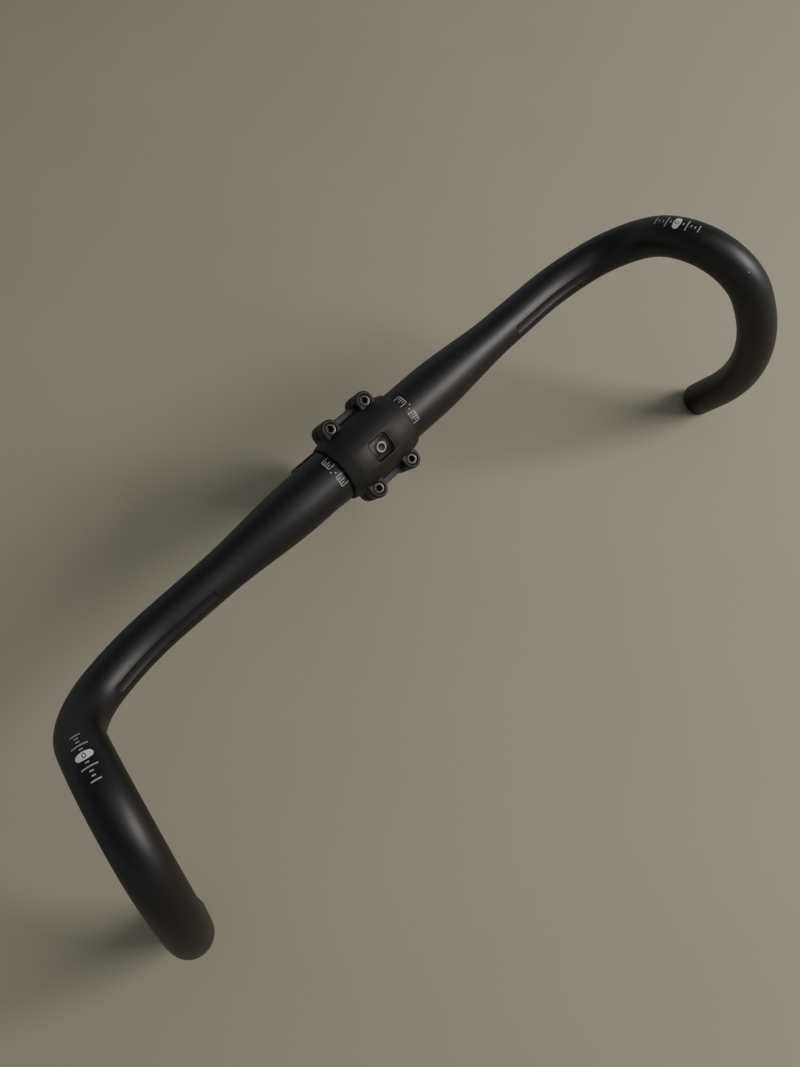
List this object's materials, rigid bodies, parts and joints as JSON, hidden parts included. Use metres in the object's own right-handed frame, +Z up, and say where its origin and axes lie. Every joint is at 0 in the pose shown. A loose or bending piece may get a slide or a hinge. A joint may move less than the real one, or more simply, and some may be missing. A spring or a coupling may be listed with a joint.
{
  "type": "flared drop handlebar with stem",
  "caption": "Flared drop handlebar clamped in a stem: the bar rolls in the clamp, the faceplate lifts off, the bolts draw out and the stem pinches a steerer tube.",
  "frame": {"origin": "centre of the footprint, on the floor that the two drop ends and the stem's rear lugs stand on", "axes": "+X across the bar to the rider's right, +Y forward along the floor, +Z up from the floor; the bar is tipped back as it stands in the picture"},
  "size_m": [0.5214, 0.1982, 0.1734],
  "materials": {
    "bar": "fine blasted, black anodised",
    "stem": "forged, fine blasted, matte black anodised",
    "badge": "moulded, satin",
    "bolt": "black oxide, worn bright at the rims"
  },
  "bodies": {
    "stem": {"stem_body": "stem"},
    "bar": {"handlebar": "bar"},
    "faceplate": {"faceplate": "stem", "faceplate_badge": "badge"},
    "faceplate_bolt_upper_left": {"faceplate_bolt_upper_left": "bolt"},
    "faceplate_bolt_lower_left": {"faceplate_bolt_lower_left": "bolt"},
    "faceplate_bolt_upper_right": {"faceplate_bolt_upper_right": "bolt"},
    "faceplate_bolt_lower_right": {"faceplate_bolt_lower_right": "bolt"},
    "steerer_bolt_lower": {"steerer_bolt_lower": "bolt"},
    "steerer_bolt_upper": {"steerer_bolt_upper": "bolt"}
  },
  "joints": [
    {"name": "bar_roll", "type": "hinge", "parent": "stem", "child": "bar", "pos_m": [0, -0.02838, 0.12138], "axis": [1, 0, 0], "continuous": true},
    {"name": "faceplate_off", "type": "slide", "parent": "stem", "child": "faceplate", "axis": [0, 0.4869, 0.8734], "range_m": [0, 0.035]},
    {"name": "faceplate_bolt_upper_left_out", "type": "slide", "parent": "faceplate", "child": "faceplate_bolt_upper_left", "axis": [0, 0.4869, 0.8734], "range_m": [0, 0.022]},
    {"name": "faceplate_bolt_lower_left_out", "type": "slide", "parent": "faceplate", "child": "faceplate_bolt_lower_left", "axis": [0, 0.4869, 0.8734], "range_m": [0, 0.022]},
    {"name": "faceplate_bolt_upper_right_out", "type": "slide", "parent": "faceplate", "child": "faceplate_bolt_upper_right", "axis": [0, 0.4869, 0.8734], "range_m": [0, 0.022]},
    {"name": "faceplate_bolt_lower_right_out", "type": "slide", "parent": "faceplate", "child": "faceplate_bolt_lower_right", "axis": [0, 0.4869, 0.8734], "range_m": [0, 0.022]},
    {"name": "steerer_bolt_lower_out", "type": "slide", "parent": "stem", "child": "steerer_bolt_lower", "axis": [1, 0, 0], "range_m": [0, 0.018]},
    {"name": "steerer_bolt_upper_out", "type": "slide", "parent": "stem", "child": "steerer_bolt_upper", "axis": [1, 0, 0], "range_m": [0, 0.018]}
  ]
}
